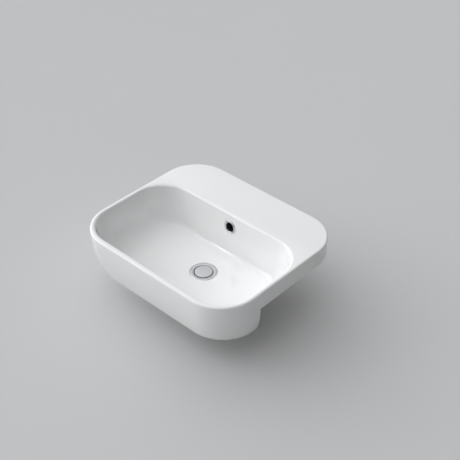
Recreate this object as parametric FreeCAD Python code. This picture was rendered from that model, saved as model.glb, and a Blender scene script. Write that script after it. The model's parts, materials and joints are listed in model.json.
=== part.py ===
import FreeCAD, Part

import math
import os

# Semi-recessed basin of vitreous china with a push-button waste.
#
# The rim and the rear shelf stand on a bench top, the bowl hangs through a cut-out in the bench, and the
# apron in front hides the bench's cut edge.  Millimetres, +Z up, front towards -Y, X to the right.
# Z = 0 is the bench top.  The origin is on the centre line, in the middle of the rear foot.
# "Below the rim" is a depth measured down from the top of the rim.

V = FreeCAD.Vector

# ---------------------------------------------------------------- basin, outside
width = 500.0               # left to right over the rim
length = 425.0              # front edge to back edge
rim_height = 45.0           # top of the rim above the bench top
front_corner_r = 98.0
back_corner_r = 97.0
outer_edge_r = 4.5          # rounding of the rim's outer edge
bench_setback = 122.0       # front edge of the basin to the front face of the bench
apron_drop = 120.0          # top of the rim to the underside of the apron
apron_front_lean = 20.0     # how far the front leans back at its foot
apron_side_lean = 15.0      # how far the sides draw in at their foot
apron_edge_r = 4.5          # rounding along the foot of the apron
foot = 13.0                 # width of the foot that stands on the bench
shelf = 12.0                # thickness of the rear shelf
recess_draft = 2.0          # the recess under the shelf narrows by this much on its way up
wall = 10.0                 # china round the bowl
apron_wall = 12.0           # china at the side of the pockets under the apron, and behind them
apron_front_wall = 30.0     # the same in front of them
pocket_top = 62.0           # roof of the pockets, below the rim
apron_steps = 4             # bands that shape the apron
edge_steps = 3              # bands in a rounded edge
clear = 1.0                 # cutting forms run past the china or metal by this much

# ---------------------------------------------------------------- bowl, inside
bowl_width = 476.0          # mouth, left to right
front_rim = 15.0            # front edge to the mouth
shelf_length = 132.0        # mouth to the back edge
mouth_front_r = 84.0
mouth_back_r = 84.0
floor_corner_r = 42.0       # plan radius of the bowl's corners where the floor starts
lip_r = 6.0                 # rounding of the rim into the bowl
side_draft = 8.0           # lean of the side walls from upright, degrees
front_draft = 8.0
back_draft = 4.5
side_fillet = 105.0          # radius from wall to floor
front_fillet = 42.0
back_fillet = 18.0
floor_depth = 116.0         # below the rim, where the fillets meet the floor
drain_depth = 121.5         # below the rim, at the waste flange
drain_from_front = 194.0
curve_steps = 7             # bands that shape the curve into the floor
underside_steps = 4         # the same on the bowl's underside

# ---------------------------------------------------------------- waste outlet in the china
flange_r = 34.0             # chrome flange
flange_recess_gap = 0.6     # china recess round the flange
flange = 3.0                # thickness
flange_seal_t = 2.0
flange_seal_inset = 0.5     # the seal stays this far inside the flange
drain_margin = 3.0          # floor level with the flange, round it
drain_flat = 1.0            # half the short straight sides of that level part
waste_hole_r = 26.0
boss_r = 46.0
web = 10.0                  # china above and below the overflow channel at the waste
channel_height = 18.0
channel_width = 64.0
channel_wall = 8.0
channel_top = 20.0          # top of the channel, below the rim

# ---------------------------------------------------------------- overflow
overflow_depth = 37.0       # centre of the hole, below the rim
overflow_ring_r = 17.5
overflow_ring_t = 2.6
overflow_spot_face = 0.6    # flat cut in the china for the ring
spot_face_gap = 0.5         # china cut away round the ring
overflow_hole_r = 14.5
overflow_barrel_r = 13.6
overflow_bore_r = 12.5
overflow_barrel_l = 11.0
o_ring_wire_r = 0.8
o_ring_gap = 0.05           # rubber rings stand this far off the walls of their groove

# ---------------------------------------------------------------- waste body
tube_r = 23.9               # 1 1/2 inch pipe thread, over the crests
tube_bore_r = 21.5
waste_length = 80.0         # flange top to the end of the tube
seat_top_r = 24.3           # the cone that the plug shuts on
seat_top = 0.8              # below the flange top
seat_bevel = 1.0            # width of the bevel from the flange into the seat
seat_foot = 4.5
slot_count = 4
slot_width = 12.0
tail_bevel = 1.0
runout_depth = 0.6          # groove where the nut's thread ends and the tail's begins
runout_width = 1.5
hub_r = 12.0
hub_top = 32.0              # below the flange top
hub_height = 10.0
arm_count = 3
arm_width = 4.0
arm_bite = 0.5              # arms run into the tube by this much
arm_step = 1.0              # arms start this far under the hub's top and end as far above its foot

# ---------------------------------------------------------------- nut and washers under the boss
lower_seal_t = 5.0
lower_seal_r = 33.0
lower_seal_nose = 2.5       # the cone that enters the hole
lower_seal_nose_t = 0.5     # rubber at its tip
lower_seal_nose_gap = 0.2   # cone to hole, at its root
lower_seal_bevel = 1.0
slip_washer_t = 1.5
slip_washer_r = 33.0
nut_height = 10.0
nut_flats = 60.0
thread_gap = 0.1            # between plain thread diameters

# ---------------------------------------------------------------- plug
plug_r = 22.5
plug_edge = 0.6             # edge of the plug above the flange top
plug_crown = 0.9            # rise of the dome over the edge
plug_bevel = 0.6
plug_under = 1.8            # underside of the plug below the flange top
plug_hub_r = 16.0
plug_lip_r = 17.0
plug_seal_t = 1.4
plug_lip_t = 0.8
plug_boss_r = 6.5
plug_boss = 8.0             # foot of the boss below the flange top
plug_seat_gap = 0.4         # seal to cone
plug_travel = 9.0           # shut to open
stem_end_gap = 0.2          # end of the stem to the top of its bore in the plug
locknut_flats = 10.0
locknut_height = 3.5

# ---------------------------------------------------------------- latch
stem_r = 2.95
guide_gap = 0.05            # running fit of the stem in the barrel
barrel_r = 8.5
collar_height = 5.0
collar_flats = 20.0
guide_length = 4.0
cam_r = 4.7
cam_gap = 0.3               # cam in the barrel's bore
cam_length = 18.0
cam_headroom = 0.5          # left over the cam when the plug is up
pin_r = 1.0
pin_gap = 0.3               # pin in its lane, each side
pin_below_cam_top = 3.5
lane_floor_r = 3.3
lane_count = 4              # lanes that let the plug up; as many lead it back
lane_turn = 45.0            # degrees that the ring turns over the travel
lane_steps = 4
latch_ring_r = 7.0
latch_ring_bore_r = 5.2
latch_ring_height = 3.9
ring_bore_gap = 0.1         # running fit of the ring in the barrel
ring_end_gap = 0.3
stem_o_ring_wire_r = 0.7
circlip_t = 1.5
circlip_bite = 0.5          # depth of its groove
circlip_opening = 50.0      # degrees
spigot_r = 2.6              # centres the spring at both ends
spigot_length = 2.5
spring_r = 3.6              # mean radius
spring_wire_r = 0.45
spring_length = 11.3
spring_turns = 6
spring_end_gap = 0.1
barrel_plug_t = 4.0
plug_slot_width = 1.5
plug_slot_depth = 1.5

# ---------------------------------------------------------------- places worked out from the above
front_y = -(length - foot / 2)
back_y = front_y + length
bench_y = front_y + bench_setback
mouth_front_y = front_y + front_rim
mouth_back_y = back_y - shelf_length
drain_y = front_y + drain_from_front
flange_z = rim_height - drain_depth
recess_depth = drain_depth + flange + flange_seal_t
channel_roof = recess_depth + web
channel_floor = channel_roof + channel_height
boss_depth = channel_floor + web
cam_top = -hub_top + collar_height - guide_length - plug_travel - cam_headroom
cam_foot = cam_top - cam_length
pin_h = cam_top - pin_below_cam_top
ring_top = pin_h + latch_ring_height / 2
ring_foot = pin_h - latch_ring_height / 2
ring_step = ring_top + ring_end_gap
circlip_top = ring_foot - ring_end_gap
ring_seat_r = latch_ring_r + ring_bore_gap
spring_foot = cam_foot - spring_end_gap - spring_length
barrel_floor = spring_foot - spring_end_gap
barrel_foot = barrel_floor - barrel_plug_t
nut_top = drain_depth - boss_depth - lower_seal_t - slip_washer_t
nut_foot = nut_top - nut_height
tail_top = nut_foot - 2 * runout_width
far = 2 * width             # longer than anything it cuts


# ---------------------------------------------------------------- helpers
def z_at(depth):
    """Height of a depth below the rim."""
    return rim_height - depth


def box(x0, x1, y0, y1, z0, z1):
    return Part.makeBox(x1 - x0, y1 - y0, z1 - z0, V(x0, y0, z0))


def rod(r, z0, z1):
    """Upright cylinder on the local axis."""
    return Part.makeCylinder(r, z1 - z0, V(0, 0, z0))


def turned(points):
    """Solid turned about the local upright axis from (radius, height) points."""
    ring = Part.makePolygon([V(r, 0, h) for r, h in points + points[:1]])
    return Part.Face(ring).revolve(V(0, 0, 0), V(0, 0, 1), 360)


def tube(r_out, r_in, z0, z1):
    return rod(r_out, z0, z1).cut(rod(r_in, z0, z1))


def o_ring(centre_r, wire_r, z):
    """Rubber ring on the local axis, its round section drawn with six sides."""
    return turned([(centre_r + wire_r * math.cos(math.radians(60 * k)),
                    z + wire_r * math.sin(math.radians(60 * k))) for k in range(6)])


def hexagon(flats, z0, z1):
    """Hexagon bar with its corners turned off at both ends."""
    corner = flats / math.sqrt(3)
    corners = [V(corner * math.cos(math.radians(60 * k)), corner * math.sin(math.radians(60 * k)), z0)
               for k in range(7)]
    bar = Part.Face(Part.makePolygon(corners)).extrude(V(0, 0, z1 - z0))
    drop = (corner - flats / 2) * math.tan(math.radians(30))
    return bar.common(turned([(0, z0), (flats / 2, z0), (corner, z0 + drop),
                              (corner, z1 - drop), (flats / 2, z1), (0, z1)]))


def arc(start, middle, end):
    return Part.Arc(start, middle, end).toShape()


def outline(z, half, front, back, front_r, back_r):
    """Edges of a rectangle with round corners, at one height: front, corner, right, corner and so on."""
    corners = []
    for x, y, r in ((1, front, front_r), (1, back, back_r), (-1, back, back_r), (-1, front, front_r)):
        inward = 1 if y == front else -1
        along_front = V(x * (half - r), y, z)
        along_side = V(x * half, y + inward * r, z)
        middle = V(x * (half - r + r * math.sqrt(0.5)), y + inward * (r - r * math.sqrt(0.5)), z)
        ends = (along_front, along_side) if x * inward > 0 else (along_side, along_front)
        corners.append((ends[0], middle, ends[1]))
    edges = []
    for before, corner in zip(corners[-1:] + corners, corners):
        edges += [Part.makeLine(before[2], corner[0]), arc(*corner)]
    return edges


def stacked(outlines):
    """Solid through outlines at different heights: flat bands between lines, ruled ones between arcs."""
    faces = [Part.Face(Part.Wire(outlines[0])), Part.Face(Part.Wire(outlines[-1]))]
    for lower, upper in zip(outlines, outlines[1:]):
        for e, f in zip(lower, upper):
            if e.Curve.TypeId == "Part::GeomLine":
                p, q = (v.Point for v in e.Vertexes)
                r, s = (v.Point for v in f.Vertexes)
                faces.append(Part.Face(Part.makePolygon([p, q, s, r, p])))
            else:
                faces.append(Part.makeRuledSurface(e, f))
    solid = Part.Solid(Part.makeShell(faces))
    if solid.Volume < 0:
        solid.reverse()
    return solid


# ---------------------------------------------------------------- basin
def quarter(radius, count):
    """Depths that divide a quarter circle, level at depth 0 and upright at its radius, evenly."""
    return [radius * (1 - math.cos(math.pi / 2 * k / count)) for k in range(count + 1)]


def rounding(radius, depth):
    """Inset of a quarter circle, level at depth 0, upright from its radius on."""
    return radius - math.sqrt(max(radius ** 2 - max(radius - depth, 0) ** 2, 0))


def fillet_centre(draft, fillet):
    """Centre of the curve from wall to floor, as (inset from the mouth, depth below the rim)."""
    lean = math.radians(draft)
    depth = floor_depth - fillet
    return (fillet + depth * math.sin(lean)) / math.cos(lean), depth


def bowl_inset(draft, fillet, skin, depth):
    """Inset of one wall of the bowl from the mouth at a depth.

    The wall leans in by the draft and turns through the fillet until it lies level with the floor.
    A skin gives the same surface moved outwards by that thickness.
    """
    lean = math.radians(draft)
    centre_in, centre_down = fillet_centre(draft, fillet)
    radius = fillet + skin
    if depth <= centre_down + radius * math.sin(lean):
        return depth * math.tan(lean) - skin / math.cos(lean)
    return centre_in - math.sqrt(max(radius ** 2 - (depth - centre_down) ** 2, 0))


def bowl_outline(skin, depth):
    side = bowl_inset(side_draft, side_fillet, skin, depth)
    front = bowl_inset(front_draft, front_fillet, skin, depth)
    back = bowl_inset(back_draft, back_fillet, skin, depth)
    start = bowl_inset(side_draft, side_fillet, skin, 0)
    end = bowl_inset(side_draft, side_fillet, skin, floor_depth + skin)
    tighter = (side - start) / (end - start)
    front_r = mouth_front_r + (floor_corner_r - mouth_front_r) * tighter + skin
    back_r = mouth_back_r + (floor_corner_r - mouth_back_r) * tighter + skin
    return outline(z_at(depth), bowl_width / 2 - side, mouth_front_y + front, mouth_back_y - back,
                   front_r, back_r)


def bowl_curve(skin, top, count):
    """Outlines of the bowl's drafted walls and of the curve that turns them level with the floor."""
    lean = math.radians(side_draft)
    centre_down = fillet_centre(side_draft, side_fillet)[1]
    turns = [lean + (math.pi / 2 - lean) * k / count for k in range(count + 1)]
    depths = [top] + [centre_down + (side_fillet + skin) * math.sin(turn) for turn in turns]
    return [bowl_outline(skin, depth) for depth in depths]


def bowl_form():
    """The hollow of the bowl, from the foot of the lip: walls, curve, and the floor's fall to the waste."""
    r = flange_r + drain_margin
    half = r + drain_flat
    drain = outline(z_at(drain_depth), half, drain_y - half, drain_y + half, r, r)
    return stacked(bowl_curve(0, lip_r, curve_steps) + [drain])


def lip_form():
    """What the rounded lip takes from the rim, round the mouth."""
    sections = []
    for depth in [-lip_r] + quarter(lip_r, edge_steps):
        out = rounding(lip_r, max(depth, 0))
        wall_line = lip_r * math.tan(math.radians((side_draft + back_draft) / 2))
        grow = out - wall_line
        sections.append(outline(z_at(depth), bowl_width / 2 + grow, mouth_front_y - grow,
                                mouth_back_y + grow, mouth_front_r + grow, mouth_back_r + grow))
    return stacked(sections)


def apron_lean(depth):
    """How far the apron has drawn in at a depth, as (side, front)."""
    part = max(depth - outer_edge_r, 0) / (apron_drop - outer_edge_r)
    return apron_side_lean * part ** 4, apron_front_lean * part ** 2


def outside_form():
    """Rim, shelf and apron as one block: the apron leans in towards its foot, which is rounded."""
    foot_start = apron_drop - apron_edge_r
    depths = quarter(outer_edge_r, edge_steps)
    rest = foot_start - outer_edge_r
    depths += [outer_edge_r + rest * k / apron_steps for k in range(1, apron_steps)]
    depths += [apron_drop - d for d in reversed(quarter(apron_edge_r, edge_steps))]
    sections = []
    for depth in depths:
        edge = rounding(outer_edge_r, depth) + rounding(apron_edge_r, apron_drop - depth)
        side, front = apron_lean(depth)
        sections.append(outline(z_at(depth), width / 2 - side - edge, front_y + front + edge,
                                back_y - edge, front_corner_r - edge, back_corner_r - edge))
    return stacked(sections)


def apron_pockets():
    """Hollow between the apron and the bowl's sides, open below; the bowl's skin is still to come off it."""
    sections = []
    r = front_corner_r - apron_front_wall
    for depth in (pocket_top, (pocket_top + apron_drop) / 2, apron_drop + clear):
        side, front = apron_lean(depth)
        sections.append(outline(z_at(depth), width / 2 - side - apron_wall,
                                front_y + front + apron_front_wall, back_y, r, r))
    return stacked(sections).cut(box(-far, far, bench_y - apron_wall, far, -far, far))


def shelf_recess():
    """Hollow under the rear shelf."""
    def section(depth, draft):
        half = width / 2 - foot - draft
        r = back_corner_r - foot - draft
        return outline(z_at(depth), half, mouth_back_y - mouth_back_r, back_y - foot - draft, r / 4, r)
    return stacked([section(shelf, recess_draft), section(rim_height + clear, 0)])


def channel_form(skin, half, top):
    """Overflow channel: down behind the bowl's back wall and forward under its floor to the waste."""
    lean = math.radians(back_draft)
    reach = mouth_back_y - drain_y
    centre_in, centre_down = fillet_centre(back_draft, back_fillet)
    radius = back_fillet + skin
    end_down = channel_floor + skin - wall - channel_height
    away = math.hypot(reach - centre_in, end_down - centre_down)
    turn = math.atan2(end_down - centre_down, reach - centre_in) + math.acos(radius / away)

    def point(inset, depth):
        return V(0, mouth_back_y - inset, z_at(depth))

    def on_bend(angle):
        return point(centre_in + radius * math.cos(angle), centre_down + radius * math.sin(angle))

    start = math.pi - lean
    top_in = top * math.tan(lean) - skin / math.cos(lean)
    corners = [on_bend(turn), point(reach, end_down), point(reach, drain_depth),
               point(top_in + skin, top), point(top_in, top), on_bend(start)]
    edges = [Part.makeLine(p, q) for p, q in zip(corners, corners[1:])]
    edges.append(arc(on_bend(start), on_bend((start + turn) / 2), on_bend(turn)))
    return Part.Face(Part.Wire(edges)).extrude(V(2 * half, 0, 0)).translated(V(-half, 0, 0))


def at_overflow(shape):
    """Turn a shape made on the upright axis to the overflow hole: up becomes out of the wall."""
    lean = math.radians(back_draft)
    y = mouth_back_y - overflow_depth * math.tan(lean)
    out = FreeCAD.Rotation(V(0, 0, 1), V(0, -math.cos(lean), math.sin(lean)))
    moved = shape.copy()
    moved.Placement = FreeCAD.Placement(V(0, y, z_at(overflow_depth)), out).multiply(shape.Placement)
    return moved


def at_waste(shape):
    """Move a shape made on the upright axis, with the flange's top at 0, to the waste."""
    return shape.translated(V(0, drain_y, flange_z))


def basin():
    behind_bench = box(-far, far, bench_y, far, -far, 0)
    body = outside_form().cut(behind_bench).cut([shelf_recess(), apron_pockets()])
    boss = at_waste(rod(boss_r, drain_depth - boss_depth, 0))
    channel_half = channel_width / 2
    spine = channel_form(wall + channel_height + channel_wall, channel_half + channel_wall, shelf / 2)
    skin = stacked(bowl_curve(wall, shelf / 2, underside_steps))
    body = body.fuse([skin, spine, boss])
    roof = at_waste(rod(boss_r, drain_depth - channel_roof, 0))
    channel = channel_form(wall + channel_height, channel_half, channel_top).cut([skin, roof])
    recess = at_waste(rod(flange_r + flange_recess_gap, drain_depth - recess_depth, boss_r))
    hole = at_waste(rod(waste_hole_r, drain_depth - boss_depth - clear, 0))
    overflow = at_overflow(rod(overflow_hole_r, -wall - channel_height / 2, channel_height))
    face = at_overflow(rod(overflow_ring_r + spot_face_gap, -overflow_spot_face, channel_height))
    return body.cut([bowl_form(), lip_form(), channel, recess, hole, overflow, face])


# ---------------------------------------------------------------- overflow
def overflow_ring():
    """Chrome ring: a rounded flange on the wall, and a barrel with a groove for its rubber ring."""
    r, t = overflow_ring_r, overflow_ring_t
    middle = -overflow_barrel_l / 2
    half = o_ring_wire_r
    ring = turned([(overflow_bore_r, -overflow_barrel_l), (overflow_barrel_r, -overflow_barrel_l),
                   (overflow_barrel_r, middle - half), (overflow_barrel_r - half, middle - half),
                   (overflow_barrel_r - half, middle + half), (overflow_barrel_r, middle + half),
                   (overflow_barrel_r, 0), (r, 0), (r, t * 0.5), (r - t * 0.4, t),
                   (overflow_bore_r + t * 0.4, t), (overflow_bore_r, t * 0.5)])
    return at_overflow(ring.translated(V(0, 0, -overflow_spot_face)))


def overflow_o_ring():
    groove_r = overflow_barrel_r - o_ring_wire_r
    wire_r = (overflow_hole_r - groove_r) / 2 - o_ring_gap
    return at_overflow(o_ring((overflow_hole_r + groove_r) / 2, wire_r,
                              -overflow_spot_face - overflow_barrel_l / 2))


# ---------------------------------------------------------------- waste
def waste_body():
    """Flange, plug seat, threaded tube with overflow slots, and the spider that holds the latch."""
    shell = turned([(tube_bore_r, -waste_length), (tube_r - tail_bevel, -waste_length),
                    (tube_r, tail_bevel - waste_length), (tube_r, tail_top),
                    (tube_r - runout_depth, tail_top), (tube_r - runout_depth, tail_top + runout_width),
                    (tube_r, tail_top + runout_width),
                    (tube_r, -flange), (flange_r, -flange), (flange_r, -flange * 0.4),
                    (flange_r - flange * 0.3, -flange * 0.1), (flange_r - flange * 0.8, 0),
                    (seat_top_r + seat_bevel, 0), (seat_top_r, -seat_top), (tube_bore_r, -seat_foot)])
    slot_top = drain_depth - channel_roof
    slot_foot = drain_depth - channel_floor
    half = slot_width / 2
    window = box(0, far, -half, half, slot_foot + half, slot_top - half)
    for end in (slot_foot + half, slot_top - half):
        window = window.fuse(Part.makeCylinder(half, far, V(0, 0, end), V(1, 0, 0)))
    for k in range(slot_count):
        turn = 360 / slot_count * k
        shell = shell.cut(window.rotated(V(0, 0, 0), V(0, 0, 1), turn))
    arm = box(barrel_r + clear, tube_bore_r + arm_bite, -arm_width / 2, arm_width / 2,
              -hub_top - hub_height + arm_step, -hub_top - arm_step)
    arms = [arm.rotated(V(0, 0, 0), V(0, 0, 1), 360 / arm_count * k - 90) for k in range(arm_count)]
    hub = rod(hub_r, -hub_top - hub_height, -hub_top)
    body = shell.fuse([hub] + arms).cut(rod(barrel_r + thread_gap, -far, far))
    return at_waste(body)


def flange_seal():
    return at_waste(tube(flange_r - flange_seal_inset, tube_r + thread_gap, -flange - flange_seal_t, -flange))


def lower_seal():
    """Coned rubber washer: its nose centres the tube in the hole."""
    top = drain_depth - boss_depth
    bore = tube_r + thread_gap
    return at_waste(turned([(bore, top - lower_seal_t), (lower_seal_r, top - lower_seal_t),
                            (lower_seal_r, top - lower_seal_bevel), (lower_seal_r - lower_seal_bevel, top),
                            (waste_hole_r - lower_seal_nose_gap, top),
                            (bore + lower_seal_nose_t, top + lower_seal_nose),
                            (bore, top + lower_seal_nose)]))


def slip_washer():
    return at_waste(tube(slip_washer_r, tube_r + thread_gap, nut_top, nut_top + slip_washer_t))


def back_nut():
    return at_waste(hexagon(nut_flats, nut_foot, nut_top).cut(rod(tube_r + thread_gap, -far, far)))


# ---------------------------------------------------------------- plug
def plug_cap():
    """Domed plug with a hub and lip that hold its seal, and a bored boss for the stem."""
    crown = plug_edge + plug_crown
    foot_z = -plug_under - plug_seal_t - plug_lip_t
    disc = turned([(0, foot_z), (plug_lip_r, foot_z), (plug_lip_r, foot_z + plug_lip_t),
                   (plug_hub_r, foot_z + plug_lip_t), (plug_hub_r, -plug_under), (plug_r, -plug_under),
                   (plug_r, plug_edge - plug_bevel), (plug_r - plug_bevel, plug_edge),
                   (plug_r / 2, plug_edge + plug_crown * 0.75), (0, crown)])
    boss = rod(plug_boss_r, -plug_boss, foot_z + plug_lip_t)
    bore = rod(stem_r + thread_gap, -far, -plug_under)
    return at_waste(disc.fuse(boss).cut(bore))


def plug_seal():
    """Rubber ring under the plug, its edge coned like the seat and just off it."""
    steep = (seat_top_r - tube_bore_r) / (seat_foot - seat_top)
    top = -plug_under
    foot_z = top - plug_seal_t
    foot_r = seat_top_r - steep * (-foot_z - seat_top) - plug_seat_gap
    middle = top - plug_seal_t / 2
    edge_r = foot_r + steep * plug_seal_t / 2
    return at_waste(turned([(plug_hub_r, foot_z), (foot_r, foot_z), (edge_r, middle), (foot_r, top),
                            (plug_hub_r, top)]))


def stem_locknut():
    nut = hexagon(locknut_flats, -plug_boss - locknut_height, -plug_boss)
    return at_waste(nut.cut(rod(stem_r + thread_gap, -far, far)))


def cam_lane(start, turn):
    """One lane of the latch track: a slot that winds over the plug's travel, with room at both ends."""
    half = pin_r + pin_gap
    over = pin_r + pin_gap
    rate = turn / plug_travel
    sections = []
    for k in range(lane_steps + 1):
        along = -over + (plug_travel + 2 * over) * k / lane_steps
        angle = math.radians(start + rate * along)
        out = V(math.cos(angle), math.sin(angle), 0)
        side = V(-math.sin(angle), math.cos(angle), 0)
        up = V(0, 0, pin_h - along)
        inner, outer = out * lane_floor_r, out * (cam_r + clear)
        sections.append(Part.makePolygon([up + inner - side * half, up + outer - side * half,
                                          up + outer + side * half, up + inner + side * half,
                                          up + inner - side * half]))
    return Part.makeLoft(sections, True, True)


def plug_stem():
    """Rod with the latch cam: lanes that let the plug rise, and lanes that lead it down again."""
    top = -plug_under - stem_end_gap
    stem = turned([(0, cam_foot - spigot_length), (spigot_r, cam_foot - spigot_length),
                   (spigot_r, cam_foot), (cam_r, cam_foot), (cam_r, cam_top), (stem_r, cam_top),
                   (stem_r, top), (0, top)])
    for k in range(lane_count):
        start = 360 / lane_count * k
        stem = stem.cut(cam_lane(start, lane_turn)).cut(cam_lane(start, lane_turn - 360 / lane_count))
    return at_waste(stem)


# ---------------------------------------------------------------- latch
def latch_barrel():
    """Housing screwed into the spider: collar, guide for the stem, bore for the cam, seat for the ring."""
    top = -hub_top + collar_height
    roof = top - guide_length
    bore_r = cam_r + cam_gap
    body = hexagon(collar_flats, -hub_top, top).fuse(rod(barrel_r, barrel_foot, -hub_top))
    bore = turned([(0, barrel_foot - clear), (ring_seat_r, barrel_foot - clear), (ring_seat_r, ring_step),
                   (bore_r, ring_step), (bore_r, roof), (stem_r + guide_gap, roof),
                   (stem_r + guide_gap, top + clear), (0, top + clear)])
    groove = rod(ring_seat_r + circlip_bite, circlip_top - circlip_t, circlip_top)
    o_ring_seat = rod(stem_r + 2 * stem_o_ring_wire_r, top - 2 * stem_o_ring_wire_r, top + clear)
    return at_waste(body.cut([bore, groove, o_ring_seat]))


def stem_o_ring():
    """Rubber ring in the top of the guide, a running fit on the stem."""
    top = -hub_top + collar_height
    wire = stem_o_ring_wire_r
    return at_waste(o_ring(stem_r + guide_gap + wire, wire - o_ring_gap, top - wire))


def latch_ring():
    """Ring that turns in the barrel, with two pins that stand in the stem's lanes."""
    ring = tube(latch_ring_r, latch_ring_bore_r, ring_foot, ring_top)
    middle = (latch_ring_r + latch_ring_bore_r) / 2
    for side in (1, -1):
        tip = lane_floor_r + pin_gap
        ring = ring.fuse(Part.makeCylinder(pin_r, middle - tip, V(side * tip, 0, pin_h), V(side, 0, 0)))
    return at_waste(ring)


def ring_circlip():
    """Open ring sprung into its groove under the latch ring."""
    outer = ring_seat_r + circlip_bite - thread_gap
    ring = tube(outer, latch_ring_bore_r, circlip_top - circlip_t, circlip_top)
    half = math.radians(circlip_opening / 2)
    gap = Part.Face(Part.makePolygon([V(0, 0, -far), V(far, -far * math.tan(half), -far),
                                      V(far, far * math.tan(half), -far), V(0, 0, -far)]))
    return at_waste(ring.cut(gap.extrude(V(0, 0, 2 * far))))


def barrel_plug():
    """Slotted disc that closes the barrel, with a spigot for the spring."""
    disc = rod(ring_seat_r - thread_gap, barrel_foot, barrel_floor).fuse(
        rod(spigot_r, barrel_floor, barrel_floor + spigot_length))
    slot = box(-far, far, -plug_slot_width / 2, plug_slot_width / 2, -far, barrel_foot + plug_slot_depth)
    return at_waste(disc.cut(slot))


def latch_spring():
    """Round wire wound on a helix: two arcs to each quarter turn, which meet without a corner."""
    rise = (spring_length - 2 * spring_wire_r) / spring_turns
    slope = rise / (2 * math.pi)

    def at(angle):
        return V(spring_r * math.cos(angle), spring_r * math.sin(angle),
                 spring_foot + spring_wire_r + slope * angle)

    def heading(angle):
        return V(-spring_r * math.sin(angle), spring_r * math.cos(angle), slope).normalize()

    def bend(start, direction, end):
        chord = end - start
        toward = V(chord).normalize()
        half = direction.getAngle(toward) / 2
        middle = start + (direction + toward).normalize() * (chord.Length / 2 / math.cos(half))
        return arc(start, middle, end)

    quarter_turn = math.pi / 2
    edges = []
    for k in range(4 * spring_turns):
        p, q = at(k * quarter_turn), at((k + 1) * quarter_turn)
        s, t = heading(k * quarter_turn), heading((k + 1) * quarter_turn)
        chord = q - p
        both = chord.dot(s + t)
        spread = 2 * (1 - s.dot(t))
        reach = (math.sqrt(both ** 2 + spread * chord.dot(chord)) - both) / spread
        joint = (p + s * reach + q - t * reach) * 0.5
        edges += [bend(p, s, joint), bend(joint, (q - t * reach - joint).normalize(), q)]
    out = V(1, 0, 0)
    across = heading(0).cross(out)
    corners = [at(0) + (out * math.cos(k * math.pi / 3) + across * math.sin(k * math.pi / 3)) * spring_wire_r
               for k in range(7)]
    section = Part.makePolygon(corners)
    print("spring, least gap between turns:", round(rise - 2 * spring_wire_r, 2), "mm")
    return at_waste(Part.Wire(edges).makePipeShell([section], True, False))


# ---------------------------------------------------------------- one file for each piece
os.makedirs("parts", exist_ok=True)
for piece in (basin, overflow_ring, overflow_o_ring, waste_body, flange_seal, lower_seal, slip_washer,
              back_nut, plug_cap, plug_seal, plug_stem, stem_locknut, latch_barrel, stem_o_ring,
              latch_ring, ring_circlip, latch_spring, barrel_plug):
    piece().exportStep("parts/" + piece.__name__ + ".step")
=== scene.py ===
import json
import math

import bmesh
import bpy
import numpy as np
from bpy.props import FloatProperty, FloatVectorProperty, IntProperty, PointerProperty, StringProperty
from bpy.types import Operator, Panel, PropertyGroup
from mathutils import Matrix, Vector


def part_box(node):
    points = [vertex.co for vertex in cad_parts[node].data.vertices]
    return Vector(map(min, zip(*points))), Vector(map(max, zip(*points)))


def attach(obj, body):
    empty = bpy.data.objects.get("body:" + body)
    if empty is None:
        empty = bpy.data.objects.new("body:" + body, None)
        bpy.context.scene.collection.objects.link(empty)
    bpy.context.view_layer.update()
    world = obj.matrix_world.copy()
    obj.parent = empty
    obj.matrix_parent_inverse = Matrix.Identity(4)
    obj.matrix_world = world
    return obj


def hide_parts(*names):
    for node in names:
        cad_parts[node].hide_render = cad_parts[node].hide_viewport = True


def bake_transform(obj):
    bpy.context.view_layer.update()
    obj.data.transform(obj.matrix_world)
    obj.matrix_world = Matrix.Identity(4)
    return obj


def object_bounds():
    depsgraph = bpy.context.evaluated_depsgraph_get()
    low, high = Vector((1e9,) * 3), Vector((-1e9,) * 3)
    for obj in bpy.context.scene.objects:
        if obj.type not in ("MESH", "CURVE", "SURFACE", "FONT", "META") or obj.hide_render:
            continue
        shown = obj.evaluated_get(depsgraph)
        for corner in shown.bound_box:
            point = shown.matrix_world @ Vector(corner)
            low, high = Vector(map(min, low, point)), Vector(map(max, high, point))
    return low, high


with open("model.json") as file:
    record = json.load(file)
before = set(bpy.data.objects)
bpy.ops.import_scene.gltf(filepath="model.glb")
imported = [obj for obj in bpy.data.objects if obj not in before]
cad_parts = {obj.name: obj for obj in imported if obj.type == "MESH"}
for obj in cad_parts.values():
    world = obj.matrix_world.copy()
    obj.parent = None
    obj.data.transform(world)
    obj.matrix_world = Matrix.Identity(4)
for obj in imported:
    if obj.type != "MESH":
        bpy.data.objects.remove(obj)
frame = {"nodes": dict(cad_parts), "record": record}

bl_info = {
    "name": "Semi-recessed basin",
    "version": (1, 0, 0),
    "blender": (4, 5, 0),
    "location": "3D View > Sidebar > Basin",
    "description": "Builds a glazed china basin, its overflow and its push-button waste round the CAD frame",
    "category": "Object",
}

CAD_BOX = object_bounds()
NODES = frame["nodes"]
BODY_OF = {node: body for body, nodes in frame["record"]["behaviour"]["bodies"].items() for node in nodes}
SLOT_OF = {row["node"]: row["material_slot"] for row in frame["record"]["subparts"]}

SMOOTH_ANGLE = math.radians(32)     # edges sharper than this stay crisp
MERGE = 2e-6                        # points closer than this are one point
MM = 0.001
FAR = 1                             # metres: a cutting block's reach, well past the basin
CUT, JOIN = "DIFFERENCE", "UNION"   # what carve does with a tool
ROUND = 96                          # points round a turned piece

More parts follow.
